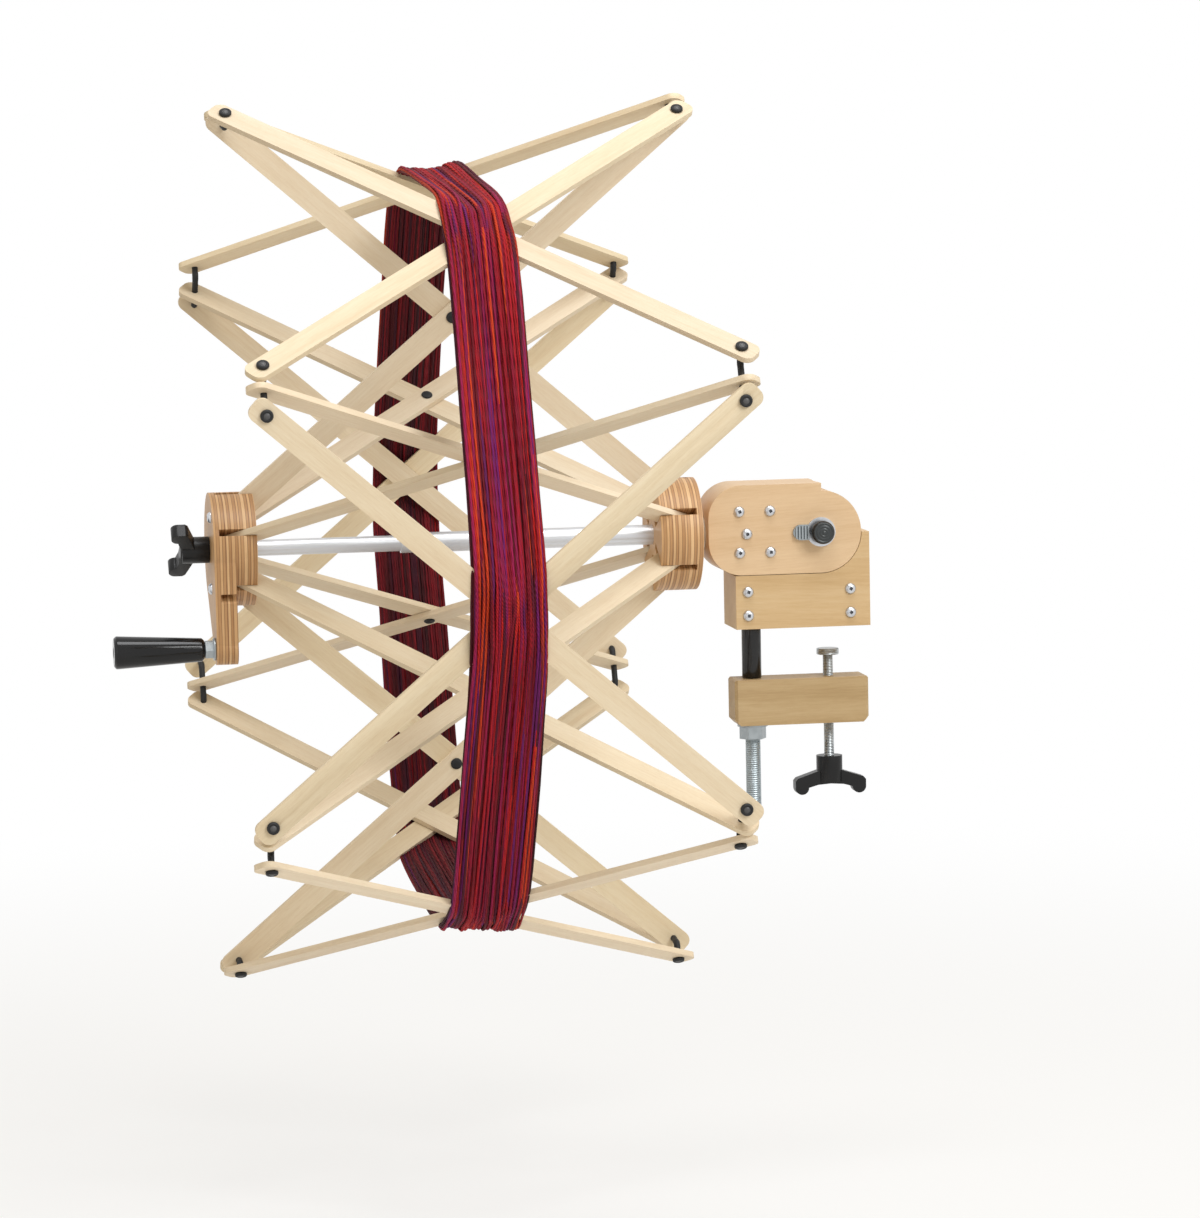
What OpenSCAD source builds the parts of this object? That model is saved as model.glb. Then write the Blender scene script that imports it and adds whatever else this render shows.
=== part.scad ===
// Umbrella swift: a folding lattice of slats on a crank-turned tube, tilting on a clamp-on base.
// The origin is the middle of the seat that rests on the table edge, with the axis of the swift along X.

/* [Lattice] */
// Length of every spoke and outer slat, between its end holes
slat_len = 470; // [420:1:500]
// Width of a slat
slat_w = 19; // [16:0.5:20]
// Thickness of a slat
slat_t = 4.5; // [4:0.1:5]
// Wood past the hole at a slat's outer end
slat_tip = 13; // [11:0.5:14]
// Corner radius at a slat's outer end
slat_corner = 7; // [4:0.5:8]
// Angle between the slats and the axis when the swift is open
open_angle = 41; // [34:0.5:44]
// Turn of the swift about its axis at rest
rest_turn = 5.5; // [0:0.5:10]
// Space between faces that pass each other
slat_gap = 0.4; // [0.3:0.1:0.6]
// Space round a pin in its hole
pin_fit = 0.1; // [0.05:0.01:0.2]
// Shank of the rivet where two spokes cross
rivet_d = 4; // [3:0.5:5]
// Head of that rivet
rivet_head_d = 8; // [7:0.5:10]
// Height of that rivet's heads
rivet_head_h = 1.6; // [1:0.1:2.5]

/* [Link cords] */
// Diameter of the rubber cords at the lattice rim
cord_d = 5; // [4:0.5:6]
// From a spoke's middle plane to the bend of its cord
cord_reach = 15; // [14.5:0.1:17]
// Bend radius of a cord
cord_bend = 5.5; // [4:0.5:6]
// Button at each end of a cord
button_d = 9; // [7:0.5:11]
// Height of that button
button_h = 2.2; // [1.5:0.1:3]

/* [Hubs] */
// Diameter of both hubs
hub_d = 90; // [84:1:100]
// Thickness of each plywood disc
ply_t = 17; // [15:0.5:20]
// Pins that the spokes hinge on
pin_d = 3.2; // [2.5:0.1:4]
// Length of those pins
pin_len = 22; // [18:0.5:24]
// Space beside and under a spoke in its slot
slot_gap = 0.5; // [0.4:0.1:0.8]
// Depth of the blind end of a slot in the outer disc
slot_blind = 12.5; // [11:0.5:13.5]
// Space left between glued or tight pieces
seat_gap = 0.05; // [0.02:0.01:0.1]

/* [Tubes] */
// Outside of the sliding tube
inner_tube_d = 12.7; // [12:0.1:13.5]
// Wall of both tubes
tube_wall = 1.5; // [1:0.1:1.8]
// How far the fixed tube stands out of the drive hub
outer_tube_reach = 203; // [180:1:220]
// Sliding tube held inside the fixed one when open
tube_overlap = 150; // [140:1:160]
// Drawbar inside the sliding tube
drawbar_d = 6; // [5:0.5:7]
// Length of the expander at the drawbar's end
expander_len = 16; // [10:1:20]

/* [Crank] */
// From the axis to the handle bolt
crank_r = 83; // [75:1:95]
// Width of the crank's end
crank_end_w = 25; // [20:1:30]
// Handle bolt
crank_bolt_d = 8; // [6:0.5:9]
// Length of the handle
handle_len = 71; // [55:1:90]
// Handle diameter at its free end
handle_big_d = 26; // [22:0.5:30]
// Handle diameter next to the crank
handle_small_d = 18.5; // [16:0.5:21]
// Space that the washer and nut take between crank and handle
handle_stand = 9; // [8:0.5:12]

/* [Wing knobs] */
// Hub of a wing knob
knob_hub_d = 21; // [18:0.5:23]
// Length of that hub
knob_hub_h = 12; // [10:0.5:14]
// Span over the wings
knob_span = 58; // [52:1:64]
// Thickness of the wings
knob_wing_t = 11; // [8:0.5:13]
// Drop from the hub's root to the wing tips
knob_wing_h = 19; // [16:0.5:22]
// Turn of the lock knob at rest
lock_turn = 52; // [0:1:90]

/* [Tilting head] */
// From the tilt pivot to the front end of the head
head_front = 91; // [88:1:100]
// Radius of the round rear end, and the head's depth below the pivot
head_r = 33; // [30:0.5:36]
// Height of the head's top above the pivot
head_top = 39; // [38:0.5:43]
// Radius of the front corners
head_corner = 27; // [20:0.5:29]
// Width of the head and the base
block_w = 52; // [48:1:60]
// Width of the middle layer
core_w = 22; // [20.5:0.5:26]
// Rounded tongue of the base between the head's cheeks
tongue_r = 29.5; // [27:0.5:30]
// Tilt pivot bolt
pivot_bolt_d = 8; // [6:0.5:10]
// Washer under the pivot knob
pivot_washer_d = 23.5; // [21:0.5:26]
// Pivot knob
pivot_knob_d = 18.5; // [15:0.5:20]
// Length of the pivot knob
pivot_knob_h = 11; // [9:0.5:20]
// Space between the drive hub and the head
hub_gap = 7.3; // [6:0.1:9]
// Wall of the bearing bushes in the head
bush_wall = 1.5; // [1:0.1:2]
// Flange of the front bush
bush_flange_d = 26; // [22:0.5:30]
// Depth of the tube bearing in the head
bearing_len = 56; // [50:1:60]

/* [Base] */
// Length of the base
base_len = 109.4; // [104:0.2:120]
// Height of the base in front of its upstand
base_h = 43; // [40:0.5:50]
// From the tilt pivot to the rear face of the base
pivot_back = 39.6; // [39:0.1:44]
// Top of the upstand below the pivot, and the width of the head's flat stop behind it
stop_drop = 1; // [0.5:0.1:3]
// Space between head and base
tilt_gap = 0.5; // [0.3:0.1:0.8]
// Heads of the wood screws
screw_head_d = 9; // [7:0.5:10]
// Shanks of the wood screws
screw_d = 4; // [3:0.5:5]
// How far the wood screws reach in
screw_len = 20; // [16:0.5:21]

/* [Table clamp] */
// From the front face of the base to the clamp rod
rod_inset = 16.8; // [16:0.1:20]
// Clamp rod
rod_d = 12; // [10:0.5:13]
// Length of the rod below the seat
rod_drop = 146; // [135:1:155]
// Length of the rod inside the base
rod_hold = 34; // [25:1:38]
// Outside of the sleeve on the rod
sleeve_d = 15.6; // [15.5:0.1:18]
// How far the sleeve stands in the base
sleeve_hold = 5; // [3:0.5:8]
// Opening between the seat and the jaw
throat = 42; // [38:0.5:50]
// Height of the jaw
jaw_h = 37; // [32:0.5:40]
// Width of the jaw
jaw_w = 32; // [28:0.5:40]
// Chamfer on the lower corners of the jaw
jaw_chamfer = 4.5; // [3:0.5:9]
// Across the flats of the rod nut
nut_flats = 19; // [18:0.5:22]
// Height of the rod nut
nut_h = 10; // [8:0.5:12]
// Washers of the clamp
washer_t = 2; // [1.5:0.1:2.5]
// From the tilt pivot back to the clamp screw
screw_back = 9.5; // [6:0.5:12]
// Clamp screw
clamp_screw_d = 8; // [6:0.5:9]
// Pad on top of the clamp screw
pad_d = 18; // [14:0.5:22]
// Height of that pad
pad_h = 5; // [4:0.5:7]
// From the seat to the pad at rest
pad_drop = 20; // [15:0.5:25]
// From the jaw to the wing knob at rest
knob_drop = 28; // [24:0.5:32]

/* [Skein] */
// Width of the band of yarn
skein_w = 54; // [50:1:60]
// Thickness of one modelled loop
loop_d = 6; // [4.6:0.1:6.4]
// Loops in the band
skein_loops = 16; // [10:2:16]

/* [Hidden] */
$fn = 48;
ARMS = 6;
STEP = 360 / ARMS;
arms = [1:ARMS];

// Outer slats stay in line with the hubs at every opening because of this ratio
hinge_r = sqrt(3) * cord_reach;
hub_span = slat_len * cos(open_angle);
ring_r = hinge_r + slat_len * sin(open_angle);
half_rise = slat_len / 2 * sin(open_angle);
bend_run = cord_bend * tan(STEP / 2);
under_h = bend_run + slat_gap / 2;
over_h = under_h + slat_t + slat_gap;
corner_r = ring_r * cos(STEP / 2) + cord_reach * sin(STEP / 2);

pivot_x = base_len / 2 - pivot_back;
axis_z = base_h + tilt_gap + head_r;
head_x = pivot_x - head_front;
drive_x = head_x - hub_gap - ply_t;
free_x = drive_x - hub_span;
cheek_w = (block_w - core_w) / 2;

outer_tube_bore = inner_tube_d + 2 * pin_fit;
outer_tube_d = outer_tube_bore + 2 * tube_wall;
outer_tube_mouth = drive_x - ply_t - outer_tube_reach;
outer_tube_end = head_x + bearing_len;
inner_tube_end = outer_tube_mouth + tube_overlap;
lock_face_x = free_x - ply_t;

rod_x = rod_inset - base_len / 2;
clamp_x = pivot_x + screw_back;
jaw_top = -throat;
jaw_x0 = -base_len / 2;
jaw_x1 = base_len / 2;

head_screw_places = [[-66, 18], [-41, 18], [-66, -15], [-41, -15]];
axle_screw_u = -60;
base_screw_z = [11, 30];
base_screw_inset = 10;
upstand_screw_inset = 16;

maple = "#d9b98a";
pale_maple = "#ead7b0";
plywood = "#b98a58";
zinc = "#b8bcc0";
aluminium = "#c9ccd0";
black = "#222222";
crimson = "#7a1228";

// Frames: a radial plane or the sector after it, with the radius along Z and the next plane towards -Y
module axis_frame() { translate([0, 0, axis_z]) children(); }
module plane_frame(i) { axis_frame() rotate([rest_turn + (i - 1) * STEP, 0, 0]) children(); }
module sector_frame(i) { axis_frame() rotate([rest_turn + (i - 0.5) * STEP, 0, 0]) children(); }
module all_planes() { for (i = arms) plane_frame(i) children(); }
module along_x(x) { translate([x, 0, 0]) rotate([0, 90, 0]) children(); }
module along_y(y) { translate([0, y, 0]) rotate([90, 0, 0]) children(); }

// A straight tube along X between two places, on the axis of the swift
module axis_rod(x0, x1, d) { axis_frame() along_x(x0) cylinder(d = d, h = x1 - x0); }

// A low dome with a flat underside at z = 0
module dome(d, h) {
    r = (d * d / 4 + h * h) / (2 * h);
    rotate_extrude()
        intersection() {
            translate([0, h - r]) circle(r = r);
            square([d, h]);
        }
}

// Slats
module blunt_end() {
    translate([0, -slat_w / 2]) square([slat_tip - slat_corner, slat_w]);
    translate([0, slat_corner - slat_w / 2]) square([slat_tip, slat_w - 2 * slat_corner]);
    for (s = [-1, 1])
        translate([slat_tip - slat_corner, s * (slat_w / 2 - slat_corner)]) circle(r = slat_corner);
}
module slat_body() {
    translate([0, -slat_w / 2]) square([slat_len, slat_w]);
    translate([slat_len, 0]) blunt_end();
}
module spoke_outline() {
    difference() {
        union() {
            slat_body();
            circle(d = slat_w);
        }
        circle(d = pin_d + 2 * pin_fit);
        translate([slat_len / 2, 0]) circle(d = rivet_d + 2 * pin_fit);
        translate([slat_len, 0]) circle(d = cord_d + 2 * pin_fit);
    }
}
module outer_outline() {
    difference() {
        union() {
            slat_body();
            rotate(180) blunt_end();
        }
        for (x = [0, slat_len]) translate([x, 0]) circle(d = cord_d + 2 * pin_fit);
    }
}
// A spoke leaving its hub along +X and outwards, beside the middle plane
module spoke_bar() {
    rotate([0, -open_angle, 0]) along_y(-slat_gap / 2) linear_extrude(slat_t) spoke_outline();
}
module spoke_rivet() {
    half = slat_gap / 2 + slat_t;
    rotate([0, -open_angle, 0]) translate([slat_len / 2, 0, 0])
        rotate([90, 0, 0]) {
            cylinder(d = rivet_d, h = 2 * half + slat_gap, center = true);
            for (s = [0, 1]) mirror([0, 0, s]) translate([0, 0, half + slat_gap / 2])
                dome(rivet_head_d, rivet_head_h);
        }
}
module drive_spoke(i) {
    color(pale_maple) plane_frame(i) translate([drive_x, 0, hinge_r]) rotate([0, 0, 180]) spoke_bar();
}
module free_spoke(i) {
    plane_frame(i) translate([free_x, 0, hinge_r]) {
        color(pale_maple) spoke_bar();
        color(black) spoke_rivet();
    }
}
module over_slat(i) {
    color(pale_maple) sector_frame(i) translate([free_x, half_rise, corner_r + over_h])
        rotate([0, 0, -open_angle]) linear_extrude(slat_t) outer_outline();
}
module under_slat(i) {
    color(pale_maple) sector_frame(i) translate([drive_x, half_rise, corner_r + under_h])
        rotate([0, 0, 180 + open_angle]) linear_extrude(slat_t) outer_outline();
}

// Link cords: through a spoke end, bent outwards on both sides, each end buttoned on an outer slat
module half_link(slat_h) {
    straight = cord_reach - bend_run;
    button_z = slat_h + slat_t + slat_gap / 2;
    rotate([90, 0, 0]) cylinder(d = cord_d, h = straight);
    // the bend is a touch thicker, as squeezed rubber is
    translate([0, -straight, cord_bend]) rotate([0, 90, 180])
        rotate_extrude(angle = STEP) translate([cord_bend, 0]) circle(d = cord_d + 0.2);
    translate([0, -cord_reach, 0]) rotate([STEP / 2, 0, 0]) {
        translate([0, 0, bend_run]) cylinder(d = cord_d, h = button_z - bend_run);
        translate([0, 0, button_z]) dome(button_d, button_h);
    }
}
module link(x, i, next_h, last_h) {
    color(black) plane_frame(i) translate([x, 0, ring_r]) {
        half_link(next_h);
        mirror([0, 1, 0]) half_link(last_h);
    }
}
module free_link(i) { link(free_x, i, over_h, under_h); }
module drive_link(i) { link(drive_x, i, under_h, over_h); }

// Hubs: two plywood discs glued over six hinge pins, one across each slot
module hinge_pins(x, gap) {
    all_planes() translate([x, 0, hinge_r]) rotate([90, 0, 0])
        cylinder(d = pin_d + 2 * gap, h = pin_len + 2 * gap, center = true);
}
// Slots for the spokes of one hub, from the blind end outwards to the open face
module spoke_slots(x, dir, reach) {
    low = hinge_r - slat_w / 2 - slot_gap;
    side = slat_gap / 2 - slot_gap;
    all_planes() translate([x, 0, 0]) rotate([0, 0, dir > 0 ? 0 : 180])
        translate([-slot_blind, -side - slat_t - 2 * slot_gap, low])
            cube([slot_blind + ply_t + 1, slat_t + 2 * slot_gap, reach - low]);
}
module hub_disc(x) { axis_rod(x, x + ply_t, hub_d); }
module hub_cuts(x, dir, bore_d, reach) {
    axis_rod(x - ply_t - 1, x + ply_t + 1, bore_d + 2 * seat_gap);
    hinge_pins(x, seat_gap);
    spoke_slots(x, dir, reach);
}
module drive_hub() {
    color(plywood) for (x = [drive_x - ply_t, drive_x])
        difference() {
            hub_disc(x);
            hub_cuts(drive_x, -1, outer_tube_d, hub_d);
        }
}
module drive_hinge_pins() { color(zinc) hinge_pins(drive_x, 0); }
module outer_tube() {
    groove_x = pivot_x + axle_screw_u;
    color(aluminium) difference() {
        axis_rod(outer_tube_mouth, outer_tube_end, outer_tube_d);
        axis_rod(outer_tube_mouth - 1, outer_tube_end + 1, outer_tube_bore);
        difference() {
            axis_rod(groove_x - screw_d, groove_x + screw_d, outer_tube_d + 2);
            axis_rod(groove_x - screw_d - 1, groove_x + screw_d + 1, outer_tube_d - tube_wall);
        }
    }
}

// The crank's disc and arm: two circles and straight flanks that start just inside them
module crank_outline() {
    end_r = crank_end_w / 2;
    lean = acos((hub_d / 2 - end_r) / crank_r);
    side = [cos(lean), sin(lean)];
    root = (hub_d / 2 - 0.8) * side;
    tip = [crank_r, 0] + (end_r - 0.4) * side;
    circle(d = hub_d);
    translate([crank_r, 0]) circle(r = end_r);
    polygon([root, tip, [tip.x, -tip.y], [root.x, -root.y]]);
}
// Frame at the handle bolt, halfway between the third and fourth planes, with Z along the axis
module crank_frame(x, r) {
    sector_frame(3) translate([x, 0, r]) rotate([0, 90, 0]) children();
}
module crank_hub() {
    color(plywood) {
        difference() {
            crank_frame(lock_face_x, 0) rotate(180) linear_extrude(ply_t) crank_outline();
            hub_cuts(free_x, 1, inner_tube_d, hub_d * 0.7);
            crank_frame(lock_face_x - 1, crank_r)
                cylinder(d = crank_bolt_d + 2 * seat_gap, h = ply_t + 2);
        }
        difference() {
            hub_disc(free_x);
            hub_cuts(free_x, 1, inner_tube_d, hub_d);
        }
    }
}
module free_hinge_pins() { color(zinc) hinge_pins(free_x, 0); }
module inner_tube() {
    color(aluminium) difference() {
        axis_rod(lock_face_x, inner_tube_end, inner_tube_d);
        axis_rod(lock_face_x - 1, inner_tube_end + 1, inner_tube_d - 2 * tube_wall);
    }
}
// Lock: the knob draws the tapered expander into the end of the sliding tube
module lock_drawbar() {
    tip_d = inner_tube_d - 2 * tube_wall - 2 * pin_fit;
    color(zinc) {
        axis_rod(lock_face_x - knob_hub_h, inner_tube_end + expander_len, drawbar_d);
        axis_frame() along_x(inner_tube_end + slat_gap)
            cylinder(d1 = tip_d, d2 = inner_tube_d, h = expander_len - slat_gap);
    }
}

// Black wing knob, hub mouth at z = 0 and the wings along X below it
module wing_outline() {
    reach = knob_span / 2;
    tip_r = 5.5;
    for (s = [0, 1]) mirror([s, 0])
        union() {
            polygon([[0, 0], [knob_hub_d / 2 - 1, 0], [reach - 2, -knob_wing_h * 0.3],
                     [reach, -knob_wing_h * 0.42], [reach, tip_r - knob_wing_h],
                     [reach - 2 * tip_r, tip_r - knob_wing_h],
                     [knob_hub_d / 2, -knob_wing_h * 0.6], [0, -knob_wing_h * 0.56]]);
            translate([reach - tip_r, tip_r - knob_wing_h]) circle(r = tip_r);
        }
}
module wing_knob(bore_d) {
    hub_h = knob_hub_h + knob_wing_h / 2;
    difference() {
        union() {
            translate([0, 0, -hub_h]) cylinder(d = knob_hub_d, h = hub_h);
            translate([0, 0, -knob_hub_h]) along_y(knob_wing_t / 2)
                linear_extrude(knob_wing_t) wing_outline();
        }
        translate([0, 0, -knob_hub_h]) cylinder(d = bore_d, h = knob_hub_h + 1);
    }
}
module lock_knob() {
    color(black) axis_frame() translate([lock_face_x - slat_gap, 0, 0]) rotate([lock_turn, 0, 0])
        rotate([0, 90, 0]) wing_knob(drawbar_d + 2 * pin_fit);
}
module crank_bolt() {
    reach = handle_stand + handle_len;
    color(zinc) crank_frame(lock_face_x, crank_r) {
        translate([0, 0, -reach + 3]) cylinder(d = crank_bolt_d, h = reach - 3 + ply_t);
        translate([0, 0, -washer_t]) cylinder(d = crank_bolt_d * 2.2, h = washer_t);
        translate([0, 0, slat_gap - handle_stand])
            cylinder(d = crank_bolt_d * 1.85, h = handle_stand - washer_t - slat_gap, $fn = 6);
    }
}
module crank_handle() {
    edge = 2;
    small = handle_small_d / 2;
    big = handle_big_d / 2;
    bore = crank_bolt_d / 2 + pin_fit;
    color(black) crank_frame(lock_face_x - handle_stand, crank_r) rotate([180, 0, 0])
        rotate_extrude()
            polygon([[bore, 0], [small - edge, 0], [small, edge], [big, handle_len - edge],
                     [big - edge, handle_len], [bore, handle_len]]);
}

// Head: two cheeks on a middle layer that leaves room for the tongue of the base
module head_outline() {
    inner = head_front - head_corner;
    circle(r = head_r);
    translate([-inner, -head_r]) square([inner + stop_drop, head_r + head_top]);
    translate([-head_front, head_corner - head_r])
        square([head_corner + 1, head_r + head_top - 2 * head_corner]);
    for (z = [head_corner - head_r, head_top - head_corner])
        translate([-inner, z]) circle(r = head_corner);
}
module head_core_outline() {
    room = tongue_r + tilt_gap;
    difference() {
        head_outline();
        circle(r = room);
        translate([-room, -head_r - 1]) square([head_r * 3, head_r + 1]);
        translate([0, -1]) square(head_r * 3);
    }
}
// Frame with the tilt pivot at the origin, X and Z as X and Y, and the depth from one face
module pivot_layer(y, w) {
    translate([pivot_x, y + w, axis_z]) rotate([90, 0, 0]) linear_extrude(w) children();
}
module head_block() {
    core_y = core_w / 2;
    color(maple) {
        difference() {
            pivot_layer(-core_y, core_w) head_core_outline();
            axis_rod(head_x - 1, pivot_x, outer_tube_d + 2 * bush_wall + 2 * seat_gap);
            head_screw_shanks(seat_gap);
        }
        for (s = [0, 1]) mirror([0, s, 0])
            difference() {
                pivot_layer(-block_w / 2, cheek_w) head_outline();
                pivot_layer(-block_w / 2 - 1, cheek_w + 2) circle(d = pivot_bolt_d + 2 * seat_gap);
                head_screw_shanks(seat_gap);
            }
    }
}
module side_screw(x, z, len, gap, head) {
    for (s = [0, 1]) mirror([0, s, 0]) translate([x, -block_w / 2, z]) {
        rotate([-90, 0, 0]) cylinder(d = screw_d + 2 * gap, h = len);
        if (head) rotate([90, 0, 0]) dome(screw_head_d, screw_head_d * 0.3);
    }
}
module head_screw_shanks(gap, head = false) {
    for (p = head_screw_places) side_screw(pivot_x + p.x, axis_z + p.y, screw_len, gap, head);
    side_screw(pivot_x + axle_screw_u, axis_z, block_w / 2 - outer_tube_d / 2 + pin_fit, gap, head);
}
module head_screws() { color(zinc) head_screw_shanks(0, true); }
// Bushes: a flanged one at the front of the head and a plain one behind the retaining screw
module axle_bushes() {
    front = [head_x - hub_gap + slat_gap, pivot_x + axle_screw_u - screw_d];
    rear = [pivot_x + axle_screw_u + screw_d, outer_tube_end];
    color("#e8e4d8") difference() {
        union() {
            for (r = [[head_x, front[1]], rear]) axis_rod(r[0], r[1], outer_tube_d + 2 * bush_wall);
            axis_rod(front[0], head_x, bush_flange_d);
        }
        axis_rod(front[0] - 1, rear[1] + 1, outer_tube_d + 2 * pin_fit);
    }
}
module pivot_bolt() {
    face = block_w / 2;
    color(zinc) translate([pivot_x, 0, axis_z]) rotate([90, 0, 0]) {
        translate([0, 0, -face - washer_t])
            cylinder(d = pivot_bolt_d, h = block_w + washer_t * 2 + pivot_knob_h + 1);
        for (z = [-face - washer_t, face]) translate([0, 0, z]) cylinder(d = pivot_washer_d, h = washer_t);
        translate([0, 0, -face - washer_t - pivot_bolt_d * 0.65])
            cylinder(d = pivot_bolt_d * 1.85, h = pivot_bolt_d * 0.65, $fn = 6);
    }
}
module pivot_knob() {
    rim = 2;
    bore = pivot_bolt_d / 2 + pin_fit;
    r = pivot_knob_d / 2;
    color(black) translate([pivot_x, -block_w / 2 - washer_t - slat_gap, axis_z]) rotate([90, 0, 0])
        rotate_extrude()
            polygon([[bore, 0], [r - rim, 0], [r, rim], [r, pivot_knob_h - rim], [r - rim, pivot_knob_h],
                     [bore, pivot_knob_h]]);
}

// Base: cheeks with a hollowed upstand round the head, and a middle layer with the tongue
module base_outline() {
    rear = pivot_back;
    difference() {
        translate([rear - base_len, -axis_z]) square([base_len, axis_z - stop_drop]);
        circle(r = head_r + tilt_gap);
        translate([-base_len * 2, -head_r - tilt_gap]) square([base_len * 2, head_r * 2]);
    }
}
module base_core_outline() {
    low = head_r + tilt_gap + 1;
    base_outline();
    translate([-tongue_r, -low]) square([tongue_r * 1.5, low]);
    translate([0, -low]) square([pivot_back - 1, low - stop_drop]);
    circle(r = tongue_r);
}
module base_block() {
    color(maple) {
        difference() {
            pivot_layer(-core_w / 2, core_w) base_core_outline();
            pivot_layer(-core_w / 2 - 1, core_w + 2) circle(d = pivot_bolt_d + 2 * pin_fit);
            translate([rod_x, 0, -1]) cylinder(d = rod_d + 2 * seat_gap, h = rod_hold + 1);
            translate([rod_x, 0, -1]) cylinder(d = sleeve_d + 2 * seat_gap, h = sleeve_hold + 1);
            base_screw_shanks(seat_gap);
        }
        for (s = [0, 1]) mirror([0, s, 0])
            difference() {
                pivot_layer(-block_w / 2, cheek_w) base_outline();
                base_screw_shanks(seat_gap);
            }
    }
}
module base_screw_shanks(gap, head = false) {
    for (x = [base_screw_inset - base_len / 2, base_len / 2 - upstand_screw_inset], z = base_screw_z)
        side_screw(x, z, screw_len, gap, head);
}
module base_screws() { color(zinc) base_screw_shanks(0, true); }

// Table clamp
module clamp_rod() {
    color(zinc) translate([rod_x, 0, -rod_drop]) cylinder(d = rod_d, h = rod_drop + rod_hold);
}
module rod_sleeve() {
    color(black) translate([rod_x, 0, jaw_top + slat_gap]) difference() {
        cylinder(d = sleeve_d, h = throat + sleeve_hold - 2 * slat_gap);
        translate([0, 0, -1]) cylinder(d = rod_d + 2 * seat_gap, h = throat + sleeve_hold + 2);
    }
}
module jaw_profile() {
    c = jaw_chamfer;
    polygon([[jaw_x0, jaw_top - c / 3], [jaw_x0 + c / 3, jaw_top], [jaw_x1 - c / 3, jaw_top],
             [jaw_x1, jaw_top - c / 3], [jaw_x1, jaw_top - jaw_h + c], [jaw_x1 - c, jaw_top - jaw_h],
             [jaw_x0 + c, jaw_top - jaw_h], [jaw_x0, jaw_top - jaw_h + c]]);
}
module jaw_plan() {
    c = jaw_chamfer / 2;
    polygon([for (s = [-1, 1], p = [[-1, 1, 0], [-1, 0, 1], [1, 0, 1], [1, 1, 0]])
        let (q = s < 0 ? p : [-p[0], p[1], p[2]])
        [(q[0] < 0 ? jaw_x0 + c * p[2] : jaw_x1 - c * p[2]), s * (jaw_w / 2 - c * p[1])]]);
}
module clamp_jaw() {
    color(pale_maple) difference() {
        intersection() {
            along_y(jaw_w / 2) linear_extrude(jaw_w) jaw_profile();
            translate([0, 0, jaw_top - jaw_h - 1]) linear_extrude(jaw_h + 2) jaw_plan();
        }
        translate([rod_x, 0, jaw_top - jaw_h - 1]) cylinder(d = rod_d + 2 * pin_fit, h = jaw_h + 2);
        translate([clamp_x, 0, jaw_top - jaw_h - 1])
            cylinder(d = clamp_screw_d + 2 * pin_fit, h = jaw_h + 2);
    }
}
module clamp_nut() {
    color(zinc) translate([rod_x, 0, jaw_top - jaw_h]) difference() {
        union() {
            translate([0, 0, -washer_t]) cylinder(d = nut_flats * 1.3, h = washer_t);
            translate([0, 0, -washer_t - nut_h]) cylinder(d = nut_flats / cos(30), h = nut_h, $fn = 6);
        }
        translate([0, 0, -washer_t - nut_h - 1])
            cylinder(d = rod_d + 2 * pin_fit, h = nut_h + washer_t + 2);
    }
}
module clamp_screw() {
    bottom = jaw_top - jaw_h - knob_drop - knob_hub_h;
    color(zinc) translate([clamp_x, 0, 0]) {
        translate([0, 0, bottom]) cylinder(d = clamp_screw_d, h = -pad_drop - bottom);
        translate([0, 0, -pad_drop - pad_h]) cylinder(d = pad_d, h = pad_h);
    }
}
module clamp_wing_knob() {
    color(black) translate([clamp_x, 0, jaw_top - jaw_h - knob_drop])
        wing_knob(clamp_screw_d + 2 * seat_gap);
}

// Skein: one unbroken strand wound over the six places where outer slats cross
LOOP_RINGS = 24;
RING_STEP = LOOP_RINGS / ARMS;
SIDES = 6;
layer_rise = (loop_d + slat_gap + 1.2) / cos(STEP / 2);
skein_r = corner_r + over_h + slat_t + slat_gap + loop_d / 2;
skein_x = (free_x + drive_x) / 2;
loop_pitch = skein_w / (skein_loops / 2);
// Height of the winding at a turn: it climbs one layer in the half turn where it reverses
function climb(turn) = let (f = (turn - skein_loops / 2) * 2 + 0.5) layer_rise * min(1, max(0, f));
function across(turn) =
    (turn < skein_loops / 2 ? turn : skein_loops - turn) * loop_pitch - skein_w / 2;
// Half length of the flat where the strand lies on the slats of a sector
function flat_half(x) = (abs(x) + loop_d / 2) * tan(open_angle) + slat_w / 2 / cos(open_angle) + 1;
// A place on the strand: four to a sector, three on the flat and one halfway to the next
function sector_point(sector, x, t, r) =
    let (a = rest_turn + (sector + 0.5) * STEP)
    [skein_x + x, -r * sin(a) - t * cos(a), axis_z + r * cos(a) - t * sin(a)];
function strand_point(k) =
    let (turn = k / LOOP_RINGS, x = across(turn), r = skein_r + climb(turn), f = flat_half(x),
         sector = floor(k / RING_STEP), j = k % RING_STEP)
    j < 3 ? sector_point(sector, x, (j - 1) * f, r)
          : (sector_point(sector, x, f, r) + sector_point(sector + 1, x, -f, r)) / 2;
strand = [for (k = [0:skein_loops * LOOP_RINGS]) strand_point(k)];
// Least space between neighbouring loops at the same place round the swift
function ring_gap(k) =
    min([for (j = [k + LOOP_RINGS:LOOP_RINGS:len(strand) - 1]) norm(strand[j] - strand[k])]);
strand_gap = min([for (k = [0:len(strand) - 1 - LOOP_RINGS]) ring_gap(k)]) - loop_d;
echo(strand_gap = strand_gap);

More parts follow.
